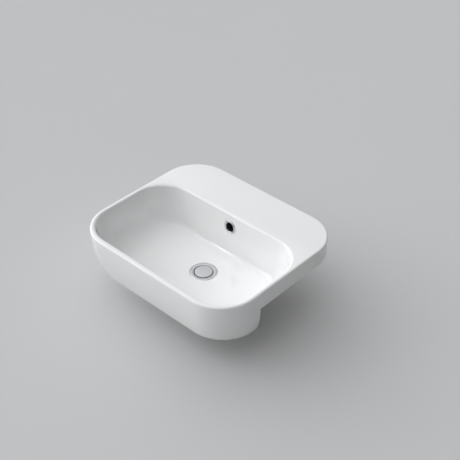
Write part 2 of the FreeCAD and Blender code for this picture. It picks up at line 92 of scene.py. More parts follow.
# The waste, measured from its axis and from the top of its flange.
SEAT_TOP_R, SEAT_TOP_Z = 24.3 * MM, -0.8 * MM       # upper edge of the cone that the plug shuts on
SEAT_BEVEL = 1.0 * MM                               # from there out to the flat of the flange
SEAT_FOOT_Z = -4.5 * MM                             # lower edge of the cone
OVER_THREAD = 24.0 * MM                             # bore of the rings that slip over the thread
CONED_SEAL = 5 * MM                                 # height of the seal under the boss
SLIP_WASHER = 1.5 * MM                              # thickness of the washer under that seal
PLUG_HUB = 16 * MM                                  # radius of the hub that the plug's seal sits on


# ---- sizes and colours
def size(name, default, text):
    """One length, given in millimetres and kept in metres."""
    return FloatProperty(name=name, description=text, default=default * MM, min=0, precision=4, unit="LENGTH")


def degrees(name, default, text):
    """One angle, given in degrees and kept in radians."""
    return FloatProperty(name=name, description=text, default=math.radians(default), subtype="ANGLE")


def number(name, default, text, **more):
    """One plain number, such as a brightness."""
    return FloatProperty(name=name, description=text, default=default, **more)


def colour(name, default, text):
    """One colour, kept as an sRGB hex value."""
    return StringProperty(name=name, description=text, default=default)


class OutsideSizes(PropertyGroup):
    """Rim, shelf and apron."""
    width: size("Width", 500, "Left to right over the rim")
    length: size("Length", 425, "Front edge to back edge")
    rim: size("Rim height", 45, "Top of the rim above the bench")
    front_corner: size("Front corners", 98, "Plan radius of the front corners")
    back_corner: size("Back corners", 97, "Plan radius of the rear corners")
    edge: size("Outer edge", 4.5, "Rounding of the rim's outer edge")
    setback: size("Overhang", 122, "Front edge of the basin to the front face of the bench")
    apron_drop: size("Apron", 120, "Top of the rim to the underside of the apron")
    front_lean: size("Front lean", 20, "How far the front leans back at its foot")
    side_lean: size("Side lean", 15, "How far the sides draw in at their foot")
    apron_edge: size("Apron edge", 4.5, "Rounding along the foot of the apron")
    apron_wall: size("Apron wall", 12, "China beside the pockets under the apron, and behind them")
    front_wall: size("Front wall", 30, "China in front of the pockets")
    pocket_top: size("Pocket roof", 62, "Top of the rim to the roof of the pockets")
    foot: size("Foot", 13, "Width of the foot that stands on the bench")
    shelf: size("Shelf", 12, "Thickness of the rear shelf")
    recess_draft: size("Recess draft", 2, "How much the hollow under the shelf narrows on its way up")


class BowlSizes(PropertyGroup):
    """Inside of the bowl."""
    width: size("Mouth", 476, "Mouth of the bowl, left to right")
    front_rim: size("Front rim", 15, "Front edge to the mouth")
    shelf_length: size("Shelf length", 132, "Mouth to the back edge")
    front_corner: size("Front corners", 84, "Plan radius of the mouth in front")
    back_corner: size("Back corners", 84, "Plan radius of the mouth at the back")
    floor_corner: size("Floor corners", 42, "Plan radius where the floor starts")
    lip: size("Lip", 6, "Rounding of the rim into the bowl")
    side_draft: degrees("Side draft", 8, "Lean of the side walls")
    front_draft: degrees("Front draft", 8, "Lean of the front wall")
    back_draft: degrees("Back draft", 4.5, "Lean of the back wall")
    side_fillet: size("Side curve", 105, "Radius from side wall to floor")
    front_fillet: size("Front curve", 42, "Radius from front wall to floor")
    back_fillet: size("Back curve", 18, "Radius from back wall to floor")
    floor: size("Floor depth", 116, "Rim to the outer edge of the floor")
    drain: size("Waste depth", 121.5, "Rim to the floor at the waste")
    drain_from_front: size("Waste place", 194, "Front edge to the centre of the waste")
    wall: size("Wall", 10, "China round the bowl")
    boss: size("Boss", 46, "Radius of the boss round the waste hole")
    hole: size("Waste hole", 26, "Radius of the waste hole")
    web: size("Web", 10, "China above and below the overflow channel at the waste")
    channel: size("Channel", 18, "Height of the overflow channel")
    channel_width: size("Channel width", 64, "Width of the overflow channel")
    channel_wall: size("Channel wall", 8, "China round the overflow channel")
    channel_top: size("Channel top", 20, "Rim to the top of the overflow channel")


class FittingSizes(PropertyGroup):
    """Overflow ring and waste."""
    overflow_depth: size("Overflow depth", 37, "Rim to the centre of the overflow")
    overflow_ring: size("Overflow ring", 17.5, "Outer radius of the overflow ring")
    overflow_hole: size("Overflow hole", 14.5, "Radius of the hole in the china")
    overflow_barrel: size("Overflow barrel", 13.6, "Outer radius of the ring's barrel")
    overflow_bore: size("Overflow bore", 12.5, "Radius that the water sees")
    overflow_length: size("Overflow barrel length", 11, "Length of the ring's barrel")
    overflow_flange: size("Overflow flange", 2.6, "How far the ring stands off its spot face")
    spot_face: size("Spot face", 0.6, "Flat cut in the wall for the ring")
    flange: size("Flange", 34, "Radius of the waste's flange")
    flange_thick: size("Flange thickness", 3, "Thickness of the waste's flange")
    seal_thick: size("Flange seal", 2, "Thickness of the seal under the flange")
    tube: size("Tube", 23.9, "Radius over the thread's crests")
    bore: size("Tube bore", 21.5, "Inner radius of the tube")
    tube_length: size("Tube length", 80, "Flange top to the end of the tube")
    pitch: size("Thread pitch", 2.31, "Eleven threads to the inch")
    plug: size("Plug", 22.5, "Radius of the plug")
    plug_edge: size("Plug edge", 0.6, "Edge of the plug above the flange")
    plug_crown: size("Plug crown", 0.9, "Rise of the dome over the edge")
    nut_flats: size("Nut", 60, "Across the flats of the back nut")
    nut_height: size("Nut height", 10, "Height of the back nut")
    spring_radius: size("Spring radius", 3.6, "Mean radius of the latch spring")
    spring_wire: size("Spring wire", 0.45, "Radius of the spring's wire")
    spring_turns: IntProperty(name="Spring turns", description="Turns of the latch spring", default=6, min=2)


class Finishes(PropertyGroup):
    """Colours as sRGB hex values."""
    glaze: colour("Glaze", "F9F9F8", "White glaze")
    biscuit: colour("Biscuit", "CFCABD", "Unglazed china on the feet and in the channel")
    chrome: colour("Chrome", "D9DADC", "Polished chrome plate")
    satin: colour("Satin chrome", "D6D8DA", "Satin top of the plug")
    brass: colour("Brass", "C9A961", "Machined brass")
    rubber: colour("Rubber", "1B1B1C", "Black rubber")
    # Black plastic on the ring's bore, which also paints the shade down the overflow hole.
    plastic: colour("Plastic", "2E2E2F", "Black plastic inside the overflow ring")
    nylon: colour("Nylon", "E4E2DA", "White nylon washer")
    spring: colour("Spring steel", "9C9DA0", "Drawn spring wire")
    floor: colour("Floor", "CDCDCD", "Studio floor")
    room: colour("Room", "F4F5F7", "Tint of the room's light")


class StageSettings(PropertyGroup):
    """Camera and lights."""
    camera: FloatVectorProperty(name="Camera", description="Place of the camera", precision=4,
                                subtype="XYZ", unit="LENGTH", default=(1.3093, -1.5452, 1.4773))
    turn: degrees("Camera turn", 42.737, "Camera round the basin, from straight in front")
    tilt: degrees("Camera tilt", 37.464, "Camera above the horizon")
    lens: number("Lens", 76.43, "Focal length on a 36 mm sensor", unit="CAMERA")
    left: number("Left", 2.58, "Brightness of the wide glow low on the left")
    above: number("Above", 0.76, "Brightness of the glow straight above")
    front: number("Front", 1.0, "Brightness of the glow above in front")
    behind: number("Behind", 0.68, "Brightness of the glow that the chrome mirrors")
    backdrop: number("Backdrop", 0.62, "Brightness of what lies beyond the floor")
    strip: number("Strip light", 0.8, "Power of the slim light on the left in front, in watts")


GROUPS = {"basin_outside": OutsideSizes, "basin_bowl": BowlSizes, "basin_fittings": FittingSizes,
          "basin_finishes": Finishes, "basin_stage": StageSettings}


# ---- meshes
def put(name, data):
    """New object of the scene that shows the data."""
    made = bpy.data.objects.new(name, data)
    bpy.context.scene.collection.objects.link(made)
    return made


def closed(name, rows, wrap=True, caps=False):
    """Object from a grid of points, rows x columns x 3: each four neighbours make one face.

    wrap closes every row on itself; wrap="both" closes the columns too; caps fills the first and last row.
    Points that fall together at a pole become one, and the faces are turned outwards.
    """
    m, n = rows.shape[:2]
    index = np.arange(m * n).reshape(m, n)
    if wrap:
        index = np.hstack([index, index[:, :1]])
    if wrap == "both":
        index = np.vstack([index, index[:1]])
    faces = np.stack([index[:-1, :-1], index[:-1, 1:], index[1:, 1:], index[1:, :-1]], -1)
    faces = faces.reshape(-1, 4).tolist()
    if caps:
        faces += [index[0, :n].tolist()[::-1], index[-1, :n].tolist()]
    mesh = bpy.data.meshes.new(name)
    mesh.from_pydata(rows.reshape(-1, 3).tolist(), [], faces)
    tidy(mesh)
    return put(name, mesh)


def tidy(mesh):
    """Merge doubles, drop faces with no area, turn faces outwards, and smooth all but the crisp edges."""
    work = bmesh.new()
    work.from_mesh(mesh)
    bmesh.ops.remove_doubles(work, verts=work.verts, dist=MERGE)
    bmesh.ops.dissolve_degenerate(work, edges=work.edges, dist=MERGE)
    bmesh.ops.recalc_face_normals(work, faces=work.faces)
    work.to_mesh(mesh)
    work.free()
    mesh.shade_smooth()
    mesh.set_sharp_from_angle(angle=SMOOTH_ANGLE)


def bake(made):
    """Put the result of an object's modifiers into its own mesh."""
    bpy.context.view_layer.update()
    seen = made.evaluated_get(bpy.context.evaluated_depsgraph_get())
    mesh = bpy.data.meshes.new_from_object(seen)
    made.modifiers.clear()
    made.data = mesh
    return made


def carve(body, *steps):
    """Apply (operation, tool) pairs to a closed body, one after the other, and throw the tools away."""
    for operation, tool in steps:
        cut = body.modifiers.new("carve", "BOOLEAN")
        cut.operation = operation
        cut.solver = "EXACT"
        cut.object = tool
        bake(body)
        bpy.data.objects.remove(tool)
    return body


def around(count):
    """Angles of points spread evenly round a circle."""
    return np.linspace(0, 2 * math.pi, count, endpoint=False)


def eased(profile, radius, steps=5):
    """Closed profile whose corners become parabolas between points a radius away, or 0.45 of a side."""
    points = np.array(profile, float)
    reach = np.broadcast_to(np.asarray(radius, float), len(points))
    before, after = np.roll(points, 1, 0) - points, np.roll(points, -1, 0) - points
    long_before, long_after = (np.linalg.norm(side, axis=1) for side in (before, after))
    back = points + before * (np.minimum(reach / long_before, 0.45))[:, None]
    on = points + after * (np.minimum(reach / long_after, 0.45))[:, None]
    t = np.linspace(0, 1, steps)[None, :, None]
    curve = (1 - t) ** 2 * back[:, None] + 2 * t * (1 - t) * points[:, None] + t ** 2 * on[:, None]
    return curve.reshape(-1, 2)


def turned_rows(profile, count=ROUND, limit=None):
    """Surface of revolution: (r, h) goes to (r cos t, r sin t, h); a limit over t caps r."""
    profile = np.array(profile, float)
    t = around(count)
    r = np.broadcast_to(profile[:, :1], (len(profile), count))
    if limit is not None:
        r = np.minimum(r, limit(t)[None])
    return np.stack([r * np.cos(t), r * np.sin(t), np.broadcast_to(profile[:, 1:], r.shape)], -1)


def turned(name, profile, count=ROUND, limit=None):
    """Closed turned solid; a profile that starts on the axis ends on it."""
    on_axis = abs(profile[0][0]) < MERGE
    return closed(name, turned_rows(profile, count, limit), wrap=True if on_axis else "both")


def hexagon(flats):
    """Radius of a hexagon over the angle: half the flats over the cosine of the angle from the flat."""
    return lambda t: flats / 2 / np.cos((t % (math.pi / 3)) - math.pi / 6)


def block(name, low, high):
    """Box between two corners, as a ring of four points carried up."""
    (x0, y0, z0), (x1, y1, z1) = low, high
    ring = np.array([(x0, y0), (x1, y0), (x1, y1), (x0, y1)])
    rows = np.stack([np.column_stack([ring, np.full(4, z)]) for z in (z0, z1)])
    return closed(name, rows, caps=True)


def rounded_rectangles(z, half, front, back, front_r, back_r, side_points=7, corner_points=21):
    """Rows of points round rectangles with round corners, one for each height.

    A corner is centre + r (cos t, sin t) over a quarter turn; a side is cut evenly between two corners.
    """
    z, half, front, back, front_r, back_r = np.broadcast_arrays(
        *(np.atleast_1d(np.asarray(v, float)) for v in (z, half, front, back, front_r, back_r)))
    t = np.linspace(0, math.pi / 2, corner_points)[None]
    corners = []
    for quarter, (side, y, r) in enumerate(((1, front, front_r), (1, back, back_r),
                                            (-1, back, back_r), (-1, front, front_r))):
        inward = 1 if y is front else -1
        angle = t + (quarter - 1) * math.pi / 2
        x = side * (half - r)[:, None] + r[:, None] * np.cos(angle)
        y = (y + inward * r)[:, None] + r[:, None] * np.sin(angle)
        corners.append(np.stack([x, y], -1))
    along = np.linspace(0, 1, side_points + 2)[None, 1:-1, None]
    parts = []
    for before, corner in zip(corners[-1:] + corners[:-1], corners):
        parts += [before[:, -1:] * (1 - along) + corner[:, :1] * along, corner]
    ring = np.concatenate(parts, 1)
    return np.concatenate([ring, np.broadcast_to(z[:, None, None], ring.shape[:2] + (1,))], -1)


# ---- places
class Places:
    """Heights and distances worked out from the sizes, in metres in the CAD frame."""

    def __init__(self, scene):
        self.out, self.bowl, self.fit = scene.basin_outside, scene.basin_bowl, scene.basin_fittings
        self.front = -(self.out.length - self.out.foot / 2)
        self.back = self.front + self.out.length
        self.bench = self.front + self.out.setback
        self.mouth_front = self.front + self.bowl.front_rim
        self.mouth_back = self.back - self.bowl.shelf_length
        self.drain = self.front + self.bowl.drain_from_front
        self.flange = self.out.rim - self.bowl.drain
        self.recess = self.bowl.drain + self.fit.flange_thick + self.fit.seal_thick
        self.roof = self.recess + self.bowl.web
        self.sill = self.roof + self.bowl.channel
        self.boss = self.sill + self.bowl.web

    def height(self, depth):
        """Height of a point at a depth under the rim."""
        return self.out.rim - depth

    def at_waste(self, made):
        """Move a mesh drawn on the upright axis, with the flange's top at 0, to the waste."""
        made.data.transform(move(0, self.drain, self.flange))
        return made

    def at_overflow(self, made):
        """Turn a mesh drawn on the upright axis to the overflow: up becomes out of the wall."""
        lean = self.bowl.back_draft
        out = Vector((0, -math.cos(lean), math.sin(lean)))
        y = self.mouth_back - self.fit.overflow_depth * math.tan(lean)
        place = move(0, y, self.height(self.fit.overflow_depth))
        made.data.transform(place @ out.to_track_quat("Z", "X").to_matrix().to_4x4())
        return made


def move(x, y, z):
    """Matrix that shifts by three lengths."""
    return Matrix.Translation((x, y, z))


# ---- china
def rounding(radius, depth):
    """Inset of a quarter circle, level at depth 0 and upright from its radius on."""
    return radius - np.sqrt(np.maximum(radius ** 2 - np.maximum(radius - depth, 0) ** 2, 0))


def quarter(radius, count):
    """Depths that cut a quarter circle into even turns: r (1 - cos t)."""
    return radius * (1 - np.cos(np.linspace(0, math.pi / 2, count + 1)))


def apron_lean(p, depth):
    """How far the apron draws in: lean x (share of the way down) ^ 4 at the sides, ^ 2 in front."""
    o = p.out
    part = np.maximum(depth - o.edge, 0) / (o.apron_drop - o.edge)
    return o.side_lean * part ** 4, o.front_lean * part ** 2


def outside_rows(p):
    """Rim, shelf and apron: rounded rectangles that draw in with the depth, eased at the top and the foot."""
    o = p.out
    middle = np.linspace(o.edge, o.apron_drop - o.apron_edge, 18)[1:-1]
    depth = np.concatenate([quarter(o.edge, 8), middle, (o.apron_drop - quarter(o.apron_edge, 8))[::-1]])
    edge = rounding(o.edge, depth) + rounding(o.apron_edge, o.apron_drop - depth)
    side, front = apron_lean(p, depth)
    return rounded_rectangles(p.height(depth), o.width / 2 - side - edge, p.front + front + edge,
                              p.back - edge, o.front_corner - edge, o.back_corner - edge)


def pocket_rows(p):
    """Hollow between apron and bowl: rounded rectangles that follow the apron's lean and run to the back."""
    o = p.out
    depth = np.linspace(o.pocket_top, o.apron_drop + MM, 8)
    side, front = apron_lean(p, depth)
    corner = o.front_corner - o.front_wall
    return rounded_rectangles(p.height(depth), o.width / 2 - side - o.apron_wall,
                              p.front + front + o.front_wall, p.back, corner, corner)


def wall_inset(p, draft, fillet, depth, skin=0.0, lip=0.0):
    """Inset of one wall of the bowl from its mouth: lip arc, leaning wall, then the arc into the floor.

    A skin moves the wall outwards, into the china, by that much all along.
    """
    centre_down = p.bowl.floor - fillet
    centre_in = (fillet + centre_down * math.sin(draft)) / math.cos(draft)
    radius = fillet + skin
    inset = depth * math.tan(draft) - skin / math.cos(draft)
    turn = centre_down + radius * math.sin(draft)
    curve = centre_in - np.sqrt(np.maximum(radius ** 2 - (depth - centre_down) ** 2, 0))
    inset = np.where(depth > turn, curve, inset)
    if lip:
        away = lip * (1 - math.sin(draft)) / math.cos(draft)
        arc = -away + np.sqrt(np.maximum(lip ** 2 - (lip - depth) ** 2, 0))
        inset = np.where(depth < lip * (1 - math.sin(draft)), arc, inset)
    return inset


def bowl_rows(p, depth, skin=0.0, lip=0.0):
    """Walls of the bowl: rounded rectangles, each side at its own inset, the corners tighter further in."""
    b = p.bowl
    side, front, back = (wall_inset(p, draft, fillet, depth, skin, lip) for draft, fillet in (
        (b.side_draft, b.side_fillet), (b.front_draft, b.front_fillet), (b.back_draft, b.back_fillet)))
    end = wall_inset(p, b.side_draft, b.side_fillet, np.array(b.floor + skin), skin)
    start = -skin / math.cos(b.side_draft)
    tighter = (side - start) / (end - start)
    front_r = b.front_corner + (b.floor_corner - b.front_corner) * tighter + skin
    back_r = b.back_corner + (b.floor_corner - b.back_corner) * tighter + skin
    return rounded_rectangles(p.height(depth), b.width / 2 - side, p.mouth_front + front,
                              p.mouth_back - back, front_r, back_r)


def cavity_rows(p):
    """Inside of the bowl: a lip, leaning walls, a curve to the floor, and a floor that falls to the waste.

    The floor runs straight to a circle round the flange, and its fall eases in and out as 3 u^2 - 2 u^3.
    """
    b = p.bowl
    lean = b.side_draft
    centre_down = b.floor - b.side_fillet
    turn = np.linspace(lean, math.pi / 2, 22)
    curve = centre_down + b.side_fillet * np.sin(turn)
    depth = np.concatenate([quarter(b.lip, 9), np.linspace(b.lip, curve[0], 14)[1:-1], curve])
    walls = bowl_rows(p, depth, lip=b.lip)
    r = p.fit.flange + 3 * MM
    ring = rounded_rectangles(p.flange, r + MM, p.drain - r - MM, p.drain + r + MM, r, r)
    u = np.linspace(0, 1, 12)[1:, None, None]
    floor = walls[-1:] * (1 - u) + ring * u
    floor[..., 2] = walls[-1, 0, 2] + (p.flange - walls[-1, 0, 2]) * (3 * u ** 2 - 2 * u ** 3)[..., 0]
    above = walls[:1] + np.array([0, 0, 10 * MM])
    return np.concatenate([above, walls, floor])


def channel_rows(p, skin, half, top):
    """Overflow channel, one bent strip carried from side to side: down behind the back wall, then forward."""
    b = p.bowl
    lean, reach = b.back_draft, p.mouth_back - p.drain
    centre_down = b.floor - b.back_fillet
    centre_in = (b.back_fillet + centre_down * math.sin(lean)) / math.cos(lean)
    radius = b.back_fillet + skin
    end_down = p.sill + skin - b.wall - b.channel
    away = math.hypot(reach - centre_in, end_down - centre_down)
    turn = math.atan2(end_down - centre_down, reach - centre_in) + math.acos(radius / away)
    angle = np.linspace(math.pi - lean, turn, 20)
    bend = np.column_stack([centre_in + radius * np.cos(angle), centre_down + radius * np.sin(angle)])
    top_in = top * math.tan(lean) - skin / math.cos(lean)
    strip = np.vstack([[(top_in + skin, top), (top_in, top)], bend, [(reach, end_down), (reach, b.drain)]])
    y, z = p.mouth_back - strip[:, 0], p.height(strip[:, 1])
    return np.stack([np.column_stack([np.full(len(strip), x), y, z]) for x in (-half, half)])


def china(p):
    """Glazed body: the outer block, hollowed from below and above, with its channel and holes."""
    o, b, f = p.out, p.bowl, p.fit
    body = closed("basin_glazed_body", outside_rows(p), caps=True)
    behind = block("behind", (-FAR, p.bench, -FAR), (FAR, FAR, 0))
    bend, halfway = 6 * MM, 1.76 * MM       # rounding from wall to roof, and its middle point's inset
    depth = np.array([o.rim + MM, o.shelf + bend, o.shelf + halfway, o.shelf])
    draw = np.array([0, o.recess_draft * 0.7, o.recess_draft + halfway, o.recess_draft + bend])
    corner = o.back_corner - o.foot - draw
    hollow = closed("hollow", rounded_rectangles(p.height(depth), o.width / 2 - o.foot - draw,
                                                 p.mouth_back - b.back_corner, p.back - o.foot - draw,
                                                 corner / 4, corner), caps=True)
    lean, centre_down = b.side_draft, b.floor - b.side_fillet
    skin_curve = centre_down + (b.side_fillet + b.wall) * np.sin(np.linspace(lean, math.pi / 2, 14))
    skin_depth = np.concatenate([np.linspace(o.shelf / 2, skin_curve[0], 8)[:-1], skin_curve])

    def skin():
        """Bowl with its wall, drawn anew for each cut that needs one."""
        return closed("skin", bowl_rows(p, skin_depth, skin=b.wall), caps=True)

    half = b.channel_width / 2
    outer = b.wall + b.channel + b.channel_wall
    spine = closed("spine", channel_rows(p, outer, half + b.channel_wall, o.shelf / 2), caps=True)
    low, r = b.drain - p.boss, b.boss
    ease = [(r - 3 * MM, low), (r - MM, low + 0.6 * MM), (r, low + 2.5 * MM)]     # the boss's lower edge
    boss = p.at_waste(turned("boss", [(0, low)] + ease + [(r, 0), (0, 0)]))
    pockets = carve(closed("pockets", pocket_rows(p), caps=True),
                    (CUT, block("web", (-FAR, p.bench - o.apron_wall, -FAR), (FAR, FAR, FAR))))
    carve(body, (CUT, behind), (CUT, hollow), (CUT, pockets), (JOIN, skin()), (JOIN, spine), (JOIN, boss))
    channel = closed("channel", channel_rows(p, b.wall + b.channel, half, b.channel_top), caps=True)
    roof = p.at_waste(turned("roof", [(0, b.drain - p.roof), (r, b.drain - p.roof), (r, 0), (0, 0)]))
    carve(channel, (CUT, skin()), (CUT, roof))
    for made in (body, channel):
        made.data.materials.append(material("glaze"))
        made.data.materials.append(material("biscuit"))
    paint(channel.data, np.ones(len(channel.data.polygons)))
    cavity = closed("cavity", cavity_rows(p), caps=True)
    ledge, edge = f.flange + 0.6 * MM, 0.8 * MM             # room round the flange, and its eased edge
    turn = np.linspace(0, math.pi / 2, 5)
    flare = np.column_stack([ledge + edge * (1 - np.cos(turn)), edge * (np.sin(turn) - 1)])
    deep = b.drain - p.recess
    under, over = b.drain - p.boss - 5 * MM, 20 * MM        # the waste's cutter runs past the china
    recess = p.at_waste(turned("recess", [(0, under), (b.hole, under), (b.hole, deep), (ledge, deep)]
                               + flare.tolist() + [(ledge + edge, over), (0, over)]))
    inside, proud = -b.wall - b.channel / 2, 10 * MM        # and so does the overflow's, along its own axis
    face, flat = f.overflow_ring + 0.5 * MM, -f.spot_face
    hole = p.at_overflow(turned("hole", [(0, inside), (f.overflow_hole, inside), (f.overflow_hole, flat),
                                         (face, flat), (face + 0.4 * MM, proud), (0, proud)]))
    carve(body, (CUT, cavity), (CUT, channel), (CUT, recess), (CUT, hole))
    tidy(body.data)
    return body


# ---- materials
def linear(code):
    """sRGB hex value to linear red, green, blue and alpha."""
    part = [int(code[k:k + 2], 16) / 255 for k in (0, 2, 4)]
    return [c / 12.92 if c <= 0.04045 else ((c + 0.055) / 1.055) ** 2.4 for c in part] + [1.0]


def add(tree, kind, inputs=None, **settings):
    """Add a node: settings are its own properties, inputs are values, or sockets to link from."""
    node = tree.nodes.new("ShaderNode" + kind)
    for name, value in settings.items():
        setattr(node, name, value)
    for name, value in (inputs or {}).items():
        if isinstance(value, bpy.types.NodeSocket):
            tree.links.new(value, node.inputs[name])
        else:
            node.inputs[name].default_value = value
    return node


def noise(tree, across, detail=2.0):
    """Noise over Object coordinates whose features are about that many metres across."""
    place = add(tree, "TexCoord").outputs["Object"]
    return add(tree, "TexNoise", {"Vector": place, "Scale": 1 / across, "Detail": detail}).outputs["Fac"]


def ramp(tree, factor, low, high):
    """A factor from 0 to 1 spread between two values."""
    return add(tree, "MapRange", {"Value": factor, "To Min": low, "To Max": high}).outputs["Result"]


def mixed(tree, factor, first, second):
    """One colour at factor 0 and the other at factor 1."""
    made = add(tree, "Mix", data_type="RGBA")
    tree.links.new(factor, made.inputs["Factor"])
    made.inputs["A"].default_value, made.inputs["B"].default_value = first, second
    return made.outputs["Result"]


def bump(tree, shader, height, distance):
    """Fine relief: a height from 0 to 1 over a distance in metres."""
    made = add(tree, "Bump", {"Height": height, "Distance": distance, "Strength": 1.0})
    tree.links.new(made.outputs["Normal"], shader.inputs["Normal"])


def new_finish(name, pale, surface, shade, patch, low, high, streak, grain=None, depth=0.0):
    """Material with one Principled surface; returns it, its node tree and that surface.

    The colour goes from its hex value to that times a shade, and the roughness from low to high. patch,
    streak and grain are size and detail of the noise for colour, roughness and relief, depth its height.
    """
    made = bpy.data.materials.new(name)
    made.use_nodes = True
    tree = made.node_tree
    tree.nodes.clear()
    shader = add(tree, "BsdfPrincipled", surface)
    add(tree, "OutputMaterial", {"Surface": shader.outputs["BSDF"]}).location.x = 300
    first = linear(pale)
    second = [*(np.array(first[:3]) * shade), 1]
    tree.links.new(mixed(tree, noise(tree, *patch), first, second), shader.inputs["Base Color"])
    tree.links.new(ramp(tree, noise(tree, *streak), low, high), shader.inputs["Roughness"])
    if grain:
        bump(tree, shader, noise(tree, *grain), depth)
    return made, tree, shader


def make_materials(colours):
    """Every finish on the basin, named for the real material, in its colour from the finishes."""
    def finish(key, *recipe):
        """The finish of that short name."""
        return new_finish(MATERIAL[key], getattr(colours, key), *recipe)

    # Vitreous china with a fired glaze: a deep clear gloss that stands in soft waves a few centimetres wide.
    finish("glaze", {"IOR": 1.52, "Coat Weight": 0.35, "Coat Roughness": 0.03, "Coat IOR": 1.5,
                     "Subsurface Weight": 0.06, "Subsurface Radius": (0.004, 0.0036, 0.003),
                     "Subsurface Scale": 1.0},
           (0.975, 0.98, 0.985), (60 * MM,), 0.03, 0.06, (14 * MM,), (22 * MM, 1.0), 0.05 * MM)

    # Fired clay with the glaze wiped off before the kiln: dull, faintly warm and gritty.
    finish("biscuit", {"IOR": 1.5}, 0.86, (3 * MM, 4), 0.78, 0.95, (1.5 * MM,), (0.8 * MM, 3), 0.12 * MM)

    # Brass with bright chrome plate: mirror gloss with faint wipe marks.
    finish("chrome", {"Metallic": 1.0}, 0.93, (9 * MM,), 0.05, 0.13, (3 * MM, 4), (5 * MM,), 0.004 * MM)

    # The plug's top: the same plate over a finely turned face, which spreads the light into a soft sheen.
    finish("satin", {"Metallic": 1.0}, 0.9, (6 * MM,), 0.24, 0.36, (1.2 * MM, 4), (0.6 * MM, 3), 0.01 * MM)

    # Machined brass, left bare: warm, slightly dulled, with fine turning marks.
    _, tree, shader = finish("brass", {"Metallic": 1.0}, (0.8, 0.76, 0.7), (4 * MM, 4), 0.2, 0.42,
                             (1.5 * MM, 4))
    marks = add(tree, "TexWave", {"Vector": add(tree, "TexCoord").outputs["Object"], "Scale": 1 / (2.4 * MM),
                                  "Distortion": 0.6, "Detail": 2.0}, bands_direction="Z")
    bump(tree, shader, marks.outputs["Fac"], 0.008 * MM)

    # Moulded black rubber: dull, with a bloom in patches.
    finish("rubber", {"IOR": 1.52, "Sheen Weight": 0.12, "Sheen Roughness": 0.5}, 2.1, (5 * MM, 3),
           0.55, 0.75, (2 * MM, 3), (0.7 * MM, 2), 0.03 * MM)

    # Moulded black plastic, the bare inside of a plated ring, which also paints the shade down the overflow
    # hole: even and half dull.
    finish("plastic", {"IOR": 1.53}, 1.6, (4 * MM, 2), 0.35, 0.5, (1.5 * MM, 2), (0.6 * MM, 2), 0.01 * MM)

    # Natural nylon sheet: white, waxy and a little see-through at its edge.
    finish("nylon", {"IOR": 1.53, "Subsurface Weight": 0.2, "Subsurface Radius": (0.002, 0.002, 0.0016),
                     "Subsurface Scale": 1.0},
           0.93, (6 * MM, 2), 0.38, 0.5, (2 * MM, 2), (1 * MM, 2), 0.02 * MM)

    # Drawn spring steel: grey, with a soft shine along the wire.
    finish("spring", {"Metallic": 1.0}, 0.78, (2 * MM, 3), 0.22, 0.38, (1 * MM, 3), (0.5 * MM, 2),
           0.006 * MM)


MATERIAL = {"glaze": "vitreous_china_glaze", "biscuit": "unglazed_biscuit", "chrome": "chrome_plate",
            "satin": "satin_chrome_plate", "brass": "machined_brass", "rubber": "moulded_rubber",
            "plastic": "black_plastic_painted_shade", "nylon": "natural_nylon", "spring": "drawn_spring_steel"}
CAD_PIECES = ("plug_stem", "stem_locknut", "latch_barrel", "stem_o_ring", "latch_ring", "ring_circlip",
              "barrel_plug")            # shown as the CAD has them, each in the finish of its slot
CAD_FINISH = {"brass": "brass", "black_rubber": "rubber", "spring_steel": "spring"}


def material(key):
    """A finish by its short name; all are made the first time that one is asked for."""
    if MATERIAL[key] not in bpy.data.materials:
        make_materials(bpy.context.scene.basin_finishes)
    return bpy.data.materials[MATERIAL[key]]


def paint(mesh, second):
    """Give a mesh's second material to the faces marked by 1 or true, and the first to the others."""
    mesh.polygons.foreach_set("material_index", np.array(second, np.int32))


def face_values(mesh, name):
    """Normals or centres of a mesh's faces, one row each."""
    values = np.empty(len(mesh.polygons) * 3)
    mesh.polygons.foreach_get(name, values)
    return values.reshape(-1, 3)


def stand_for(made, node, *finishes):
    """Give a finished piece its materials, let it stand for its CAD node, and ride on that node's body."""
    made.data.materials.clear()
    for finish in finishes:
        made.data.materials.append(material(finish))
    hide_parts(node)
    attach(made, BODY_OF[node])
    return made


# ---- operators
class BASIN_OT_china(Operator):
    """Build the glazed china body"""
    bl_idname = "basin.china"
    bl_label = "China body"

    def execute(self, context):
        p = Places(context.scene)
        body = china(p)
        mesh = body.data
        normal, centre = face_values(mesh, "normal"), face_values(mesh, "center")
        straight, near = 0.99, 0.2 * MM         # a face on the bench looks straight at it and lies on it
        standing = (normal[:, 2] < -straight) & (np.abs(centre[:, 2]) < near)
        against = (normal[:, 1] > straight) & (np.abs(centre[:, 1] - p.bench) < near)
        raw = np.empty(len(mesh.polygons), np.int32)
        mesh.polygons.foreach_get("material_index", raw)
        stand_for(body, "basin", "glaze", "biscuit")
        paint(mesh, np.maximum(raw, standing | against))
        return {"FINISHED"}


